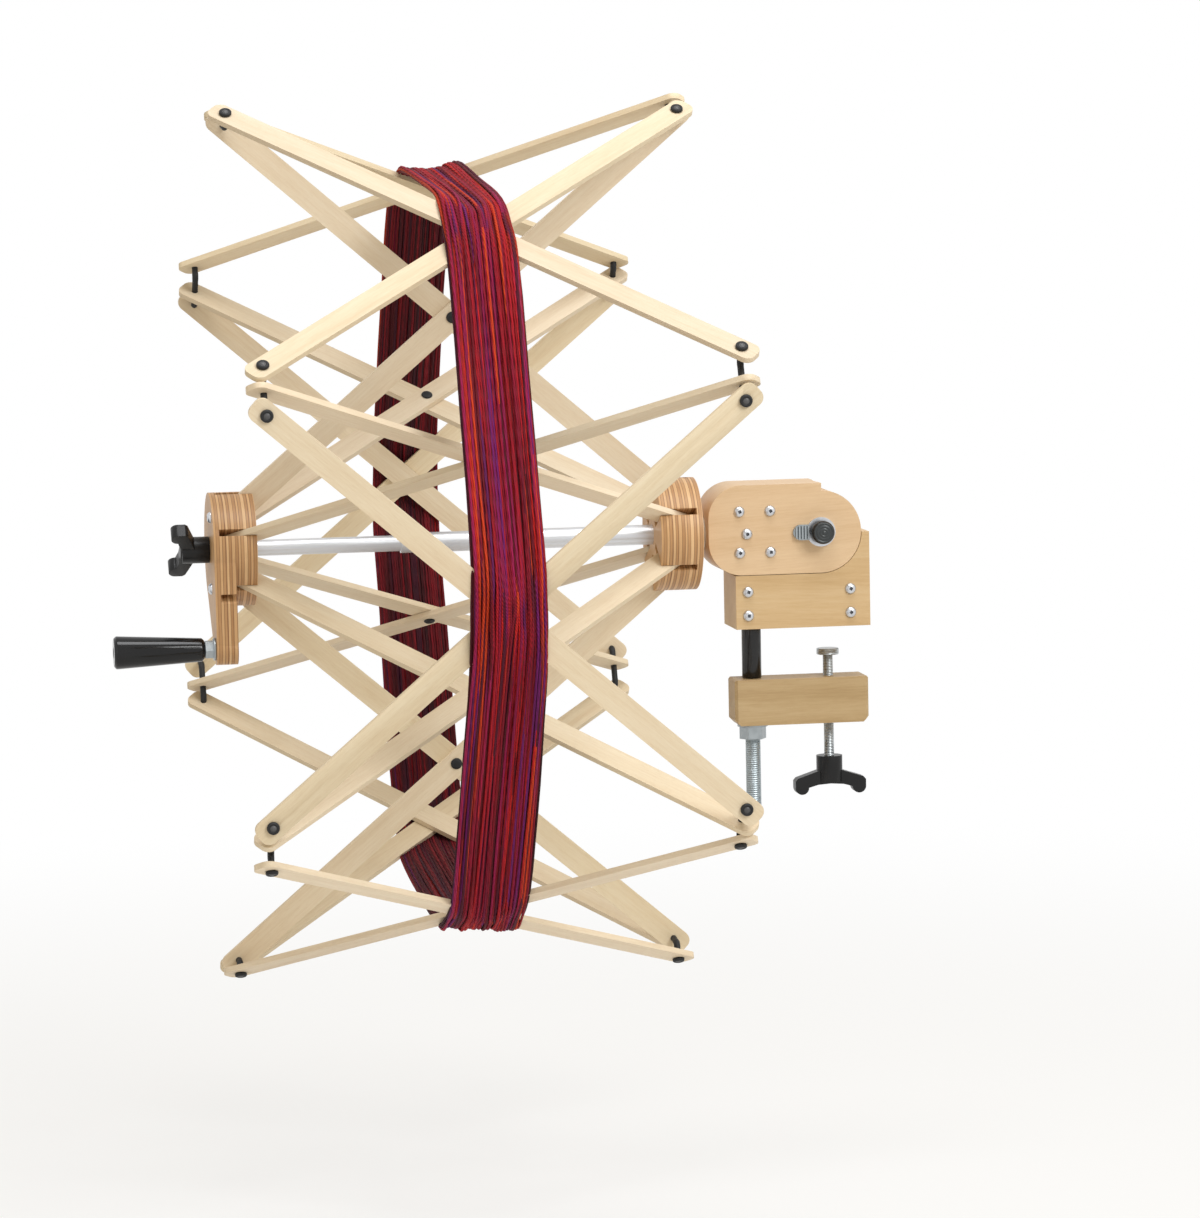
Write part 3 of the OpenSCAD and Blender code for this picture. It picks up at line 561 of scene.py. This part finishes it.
# The tab's round end, its straight end where it meets the washer, its thickness, and the ribs across it
TAB_R = 0.0062
TAB_MIDDLE = -0.0165
TAB_ROOT = -0.0095
TAB_T = 0.0022
TAB_STEPS = 24
RIBS = 5
RIB_START = -0.0205
RIB_PITCH = 0.0024
RIB_SHARE = 0.86
RIB_SHAPE = [(-0.0009, 0.0020), (-0.0005, 0.0042), (0.0005, 0.0042), (0.0009, 0.0020)]
bm = bmesh.new()
outline = []
for k in range(TAB_STEPS + 1):
    a = math.pi / 2 + math.pi * k / TAB_STEPS
    outline.append((TAB_MIDDLE + TAB_R * math.cos(a), TAB_R * math.sin(a)))
outline += [(TAB_ROOT, -TAB_R), (TAB_ROOT, TAB_R)]
low = [bm.verts.new((PIVOT.x + u, -FACE, PIVOT.z + w)) for u, w in outline]
top = [bm.verts.new((PIVOT.x + u, -FACE - TAB_T, PIVOT.z + w)) for u, w in outline]
for k in range(len(outline)):
    n = (k + 1) % len(outline)
    bm.faces.new((low[k], low[n], top[n], top[k]))
bm.faces.new(top)
bm.faces.new(list(reversed(low)))
for k in range(RIBS):
    x = PIVOT.x + RIB_START + RIB_PITCH * k
    beyond = min(0.0, x - PIVOT.x - TAB_MIDDLE)
    tall = math.sqrt(max(0.0, TAB_R ** 2 - beyond ** 2)) * RIB_SHARE
    ends = [[bm.verts.new((x + a, -FACE - b, PIVOT.z + s * tall)) for a, b in RIB_SHAPE] for s in (-1, 1)]
    bm.faces.new(ends[0])
    bm.faces.new(list(reversed(ends[1])))
    for a in range(len(RIB_SHAPE)):
        b = (a + 1) % len(RIB_SHAPE)
        bm.faces.new((ends[0][b], ends[0][a], ends[1][a], ends[1][b]))
bmesh.ops.recalc_face_normals(bm, faces=bm.faces)
mesh_object("pivot_lock_tab", bm, DULL_ZINC, "head", smooth=False)


# Skein: strands of plied yarn in a flat band over the six places where outer slats cross
SKEIN_R = CORNER_R + OVER_H + SLAT_T + SLAT_GAP
# Half the width of the band, and how far past it a strand may lie
BAND = 0.0275
BAND_EDGE = 0.001
# How much narrower the band is at the top, and wider at the bottom where it hangs
SAG_SPREAD = 0.09
YARN_R = 0.00110
STRANDS = 150
LAYERS = 3
# Points along a strand, and round it
ROUND = 96
SIDES = 6
# How far a strand strays to the side, what its flats have to spare, and where it steps down to the lower slat
STRAY = 0.0033
FLAT_SPARE = 0.001
STEP_AT = 0.008
STEP_RUN = 0.008
# Waves round the skein by which strands stray and lift, and a whole turn
STRAY_WAVES = (1, 2, 3, 4, 6, 9)
LIFT_WAVES = (3, 5, 8)
WHOLE_TURN = 6.28
# Dyes of the outer strands, and darker colours for the bottom layer next to the slats, which are painted
# shade for the inside of the skein; each layer is also darkened by a painted-shade factor, more the deeper it
# lies
OUTER_DYES = [(0.36, 0.006, 0.018), (0.42, 0.007, 0.018), (0.15, 0.003, 0.012), (0.33, 0.008, 0.075),
              (0.16, 0.009, 0.13), (0.60, 0.048, 0.010), (0.09, 0.003, 0.010), (0.30, 0.005, 0.030),
              (0.58, 0.014, 0.012), (0.22, 0.004, 0.018), (0.12, 0.008, 0.085), (0.28, 0.004, 0.014),
              (0.50, 0.016, 0.012), (0.08, 0.003, 0.018), (0.26, 0.006, 0.060)]
INNER_DYES_WITH_PAINTED_SHADE = [(0.20, 0.006, 0.016), (0.10, 0.004, 0.010), (0.05, 0.003, 0.008), (0.30, 0.008, 0.020),
              (0.07, 0.004, 0.020), (0.14, 0.005, 0.014)]
LAYER_PAINTED_SHADE = (0.62, 0.75, 1.0)
# Changes of dye along a strand, the points over which one fades into the next, and the twist for each point
DYE_CHANGES = 8
DYE_FADE = 3
UV_STEP = 0.18


def skein_loop(x, rise, noise, lift):
    """Points of one strand: flats on the slats, straight spans between them, corners eased."""
    flat = (abs(x) + STRAY) * math.tan(OPEN) + SLAT_W / 2 / math.cos(OPEN) + FLAT_SPARE
    corner = []
    step = min(1, max(0, (abs(x) - STEP_AT) / STEP_RUN)) * (SLAT_T + SLAT_GAP)
    for s in range(6):
        out, side = radial(s + 1, 0.5)
        for t in (-flat, flat):
            low = step if t * x < 0 else 0
            corner.append(out * (SKEIN_R + rise - low) + side * t)
    pts = []
    n = len(corner)
    for k in range(n):
        a, b = corner[k], corner[(k + 1) % n]
        for j in range(ROUND // n):
            pts.append(np.array(a.lerp(b, j / (ROUND // n))))
    pts = np.array(pts)
    for _ in range(2):
        pts = (np.roll(pts, 1, 0) + 2 * pts + np.roll(pts, -1, 0)) / 4
    k = np.arange(len(pts)) / len(pts) * 2 * math.pi
    dx = sum(a * np.sin(f * k + p) for a, f, p in noise)
    spread = 1 - SAG_SPREAD * pts[:, 2] / np.linalg.norm(pts[:, 1:], axis=1)
    pts[:, 0] = MID_X + np.clip(x + dx, -BAND - BAND_EDGE, BAND + BAND_EDGE) * spread
    up = sum(a * (1 + np.sin(f * k + p)) for a, f, p in lift)
    pts[:, 1:] *= (1 + up / np.linalg.norm(pts[:, 1:], axis=1))[:, None]
    pts[:, 2] += AXIS_Z
    return pts


def skein_mesh():
    """All strands as one mesh, with the dye, darkened by painted shade in the lower layers, as a colour on
    each point.
    """
    gen = random.Random(11)
    verts, faces, tones, uvs = [], [], [], []
    per = STRANDS // LAYERS
    for n in range(STRANDS):
        layer = n // per
        u = (n % per + 0.5 + gen.uniform(-0.45, 0.45)) / per * 2 - 1
        width = BAND * (1 - 0.03 * layer)
        x = u * width
        crown = 1 - 0.25 * u * u
        clump = 0.0004 * math.sin(11 * u + 1.3) + 0.0004 * math.sin(23 * u)
        rise = YARN_R + layer * (YARN_R * 1.6 * crown + clump) + gen.uniform(0, 0.0005)
        noise = [(gen.uniform(0.0002, 0.0016) / math.sqrt(f), f, gen.uniform(0, WHOLE_TURN))
                 for f in STRAY_WAVES]
        lift = [(gen.uniform(0, 0.00025 * layer), f, gen.uniform(0, WHOLE_TURN)) for f in LIFT_WAVES]
        pts = skein_loop(x, rise, noise, lift)
        m = len(pts)
        tangent = np.roll(pts, -1, 0) - np.roll(pts, 1, 0)
        tangent /= np.linalg.norm(tangent, axis=1)[:, None]
        side = np.cross(tangent, np.array([1.0, 0, 0]))
        side /= np.linalg.norm(side, axis=1)[:, None]
        wide = np.cross(side, tangent)
        first = len(verts)
        cuts = sorted(gen.uniform(0, m) for _ in range(DYE_CHANGES))
        # The bottom layer takes the darker painted-shade colours, and every layer is multiplied by its
        # painted shade
        shades = [gen.choice(OUTER_DYES if layer else INNER_DYES_WITH_PAINTED_SHADE) for _ in range(DYE_CHANGES + 1)]
        painted_shade_factor = LAYER_PAINTED_SHADE[layer]
        for j in range(m):
            part = sum(1 for c in cuts if c < j)
            near = min(abs(j - c) for c in cuts) / DYE_FADE
            tone = np.array(shades[part % DYE_CHANGES]) * painted_shade_factor
            if near < 1:
                other = np.array(shades[(part + 1) % DYE_CHANGES]) * painted_shade_factor
                tone = tone * (0.5 + near / 2) + other * (0.5 - near / 2)
            # Thick and thin along the strand
            r = YARN_R * (1 + 0.12 * math.sin(j * 1.7 + n))
            for s in range(SIDES):
                a = 2 * math.pi * s / SIDES
                verts.append(pts[j] + r * (math.cos(a) * wide[j] + math.sin(a) * side[j]))
                tones.append(tone)
        for j in range(m):
            for s in range(SIDES):
                a = first + j * SIDES + s
                b = first + j * SIDES + (s + 1) % SIDES
                c = first + ((j + 1) % m) * SIDES + (s + 1) % SIDES
                d = first + ((j + 1) % m) * SIDES + s
                faces.append((a, b, c, d))
                uvs.append(((j, s), (j, s + 1), (j + 1, s + 1), (j + 1, s)))
    me = bpy.data.meshes.new("skein_strands")
    me.from_pydata([tuple(v) for v in verts], [], faces)
    uv_layer = me.uv_layers.new(name="yarn")
    flat = [c for quad in uvs for j, s in quad for c in (j * UV_STEP, s / SIDES)]
    uv_layer.data.foreach_set("uv", flat)
    tone_layer = me.color_attributes.new("dye_and_painted_shade", "FLOAT_COLOR", "POINT")
    tone_layer.data.foreach_set("color", [c for t in tones for c in (*t, 1.0)])
    for p in me.polygons:
        p.use_smooth = True
    return me


def yarn_material():
    """Dyed wool with a twist along each strand, painted shade in the grooves between its plies, and a faint
    fuzz.
    """
    mat, nt, bsdf = new_material("dyed_wool")
    link = nt.links.new
    dye_and_painted_shade = nt.nodes.new("ShaderNodeVertexColor")
    dye_and_painted_shade.layer_name = "dye_and_painted_shade"
    uv = nt.nodes.new("ShaderNodeUVMap")
    uv.uv_map = "yarn"
    ply = add(nt, "ShaderNodeTexWave", Scale=1.0, Distortion=0.6, Detail=2.0)
    ply.wave_type = "BANDS"
    ply.bands_direction = "DIAGONAL"
    stretch = nt.nodes.new("ShaderNodeMapping")
    stretch.inputs["Scale"].default_value = (7.0, 2.0, 1.0)
    link(uv.outputs["UV"], stretch.inputs["Vector"])
    link(stretch.outputs["Vector"], ply.inputs["Vector"])
    tc = nt.nodes.new("ShaderNodeTexCoord")
    fuzz = add(nt, "ShaderNodeTexNoise", Scale=1400.0, Detail=3.0, Roughness=0.6)
    link(tc.outputs["Object"], fuzz.inputs["Vector"])
    # Painted shade: the colour darkens in the low bands of the twist, the grooves between the plies that the
    # bump also sinks
    shade = ramp(nt, [(0.0, (0.5, 0.45, 0.5)), (0.6, (1, 1, 1))])
    link(ply.outputs["Fac"], shade.inputs["Fac"])
    tint = add(nt, "ShaderNodeMix", data_type="RGBA", blend_type="MULTIPLY")
    tint.inputs[0].default_value = 0.8
    link(dye_and_painted_shade.outputs["Color"], tint.inputs[6])
    link(shade.outputs["Color"], tint.inputs[7])
    link(tint.outputs[2], bsdf.inputs["Base Color"])
    bsdf.inputs["Roughness"].default_value = 0.8
    bsdf.inputs["Specular IOR Level"].default_value = 0.28
    bsdf.inputs["Sheen Weight"].default_value = 0.04
    bsdf.inputs["Sheen Roughness"].default_value = 0.5
    bsdf.inputs["Sheen Tint"].default_value = (0.9, 0.12, 0.2, 1)
    height = add(nt, "ShaderNodeMath", operation="MULTIPLY_ADD")
    height.inputs[1].default_value = 0.35
    link(fuzz.outputs["Fac"], height.inputs[0])
    link(ply.outputs["Fac"], height.inputs[2])
    bump = add(nt, "ShaderNodeBump", Strength=0.6, Distance=0.0005)
    link(height.outputs[0], bump.inputs["Height"])
    link(bump.outputs["Normal"], bsdf.inputs["Normal"])
    return mat


skein = bpy.data.objects.new("skein_strands", skein_mesh())
bpy.context.scene.collection.objects.link(skein)
skein.data.materials.append(yarn_material())
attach(skein, "yarn_skein")
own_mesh(skein)
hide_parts("yarn_skein")


# Floor, light and camera: the floor lies low enough for the skein when the lattice is folded
FLOOR_DROP = 0.18
FLOOR_HALF = 30.0


def seen_directly(nt):
    """One for rays straight from the eye or by way of a mirror or glass, and nought for the rest."""
    rays = nt.nodes.new("ShaderNodeLightPath")
    either = add(nt, "ShaderNodeMath", operation="MAXIMUM")
    any_of = add(nt, "ShaderNodeMath", operation="MAXIMUM")
    nt.links.new(rays.outputs["Is Camera Ray"], either.inputs[0])
    nt.links.new(rays.outputs["Is Glossy Ray"], either.inputs[1])
    nt.links.new(either.outputs[0], any_of.inputs[0])
    nt.links.new(rays.outputs["Is Transmission Ray"], any_of.inputs[1])
    return any_of.outputs[0]


def floor_material():
    """Pale floor that takes the shadow near the middle and turns into the white background further out."""
    mat, nt, bsdf = new_material("floor_pale")
    link = nt.links.new
    bsdf.inputs["Base Color"].default_value = (0.86, 0.86, 0.855, 1)
    bsdf.inputs["Roughness"].default_value = 0.9
    glow = add(nt, "ShaderNodeEmission", Color=(1, 1, 1, 1), Strength=1.0)
    tc = nt.nodes.new("ShaderNodeTexCoord")
    far = add(nt, "ShaderNodeVectorMath", operation="LENGTH")
    link(tc.outputs["Object"], far.inputs[0])
    fade = add(nt, "ShaderNodeMapRange", interpolation_type="SMOOTHSTEP")
    fade.inputs["From Min"].default_value = 0.5
    fade.inputs["From Max"].default_value = 2.2
    fade.inputs["To Min"].default_value = 0.72
    fade.inputs["To Max"].default_value = 1.0
    link(far.outputs["Value"], fade.inputs["Value"])
    share = add(nt, "ShaderNodeMath", operation="MULTIPLY")
    link(seen_directly(nt), share.inputs[0])
    link(fade.outputs["Result"], share.inputs[1])
    mix = nt.nodes.new("ShaderNodeMixShader")
    link(share.outputs[0], mix.inputs[0])
    link(bsdf.outputs[0], mix.inputs[1])
    link(glow.outputs[0], mix.inputs[2])
    link(mix.outputs[0], nt.nodes["Material Output"].inputs["Surface"])
    # The glow is only looked at and lights nothing, so no rays are spent on it
    mat.cycles.emission_sampling = "NONE"
    return mat


def studio_floor():
    """A wide flat floor."""
    bm = bmesh.new()
    corners = [bm.verts.new((x, y, 0)) for x, y in ((-1, -1), (1, -1), (1, 1), (-1, 1))]
    bm.faces.new(corners)
    bmesh.ops.scale(bm, vec=(FLOOR_HALF, FLOOR_HALF, 1), verts=bm.verts)
    me = bpy.data.meshes.new("floor")
    bm.to_mesh(me)
    bm.free()
    me.materials.append(floor_material())
    obj = bpy.data.objects.new("floor", me)
    obj.location = (MID_X, 0, CAD_BOX[0][2] - FLOOR_DROP)
    bpy.context.scene.collection.objects.link(obj)


def studio_world():
    """Soft warm light from all round, seen as plain white."""
    world = bpy.data.worlds.new("studio")
    bpy.context.scene.world = world
    world.use_nodes = True
    nt = world.node_tree
    light = nt.nodes["Background"]
    light.inputs["Color"].default_value = (1.0, 0.87, 0.63, 1)
    light.inputs["Strength"].default_value = 0.44
    white = add(nt, "ShaderNodeBackground", Color=(1, 1, 1, 1), Strength=1.0)
    mix = nt.nodes.new("ShaderNodeMixShader")
    nt.links.new(seen_directly(nt), mix.inputs[0])
    nt.links.new(light.outputs[0], mix.inputs[1])
    nt.links.new(white.outputs[0], mix.inputs[2])
    nt.links.new(mix.outputs[0], nt.nodes["World Output"].inputs["Surface"])


def lamp(name, at, size, watts, colour):
    """A soft box that looks at the middle of the lattice."""
    data = bpy.data.lights.new(name, "AREA")
    data.shape = "RECTANGLE"
    data.size, data.size_y = size
    data.energy = watts
    data.color = colour
    obj = bpy.data.objects.new(name, data)
    obj.location = at
    obj.rotation_euler = (MIDDLE - Vector(at)).to_track_quat("-Z", "Y").to_euler()
    bpy.context.scene.collection.objects.link(obj)


studio_floor()
studio_world()
lamp("key", at=(1.5, -2.7, 2.2), size=(1.4, 1.4), watts=62, colour=(0.98, 1.0, 1.0))
lamp("fill", at=(-2.4, -2.0, 1.0), size=(1.8, 1.8), watts=4, colour=(1.0, 0.99, 0.97))
lamp("top", at=(-0.1, -0.7, 2.6), size=(1.9, 1.0), watts=38, colour=(0.97, 0.98, 1.0))

# The camera looks at a point from a distance in metres, turned, raised and tilted to one side
TARGET = Vector((-0.1606, 0, 0.01816))
DISTANCE = 4.084
LENS = 153.15
az = math.radians(9.22)
el = math.radians(5.7)
roll = math.radians(-1.16)
fwd = Vector((math.sin(az) * math.cos(el), math.cos(az) * math.cos(el), -math.sin(el)))
right = Vector((math.cos(az), -math.sin(az), 0))
up = right.cross(fwd)
right, up = right * math.cos(roll) + up * math.sin(roll), up * math.cos(roll) - right * math.sin(roll)
cam_data = bpy.data.cameras.new("camera")
cam_data.sensor_fit = "HORIZONTAL"
cam_data.sensor_width = 36
cam_data.lens = LENS
cam = bpy.data.objects.new("camera", cam_data)
place = Matrix((right, up, -fwd)).transposed().to_4x4()
place.translation = TARGET - fwd * DISTANCE
cam.matrix_world = place
bpy.context.scene.collection.objects.link(cam)
bpy.context.scene.camera = cam
bpy.context.scene.view_settings.view_transform = "Standard"
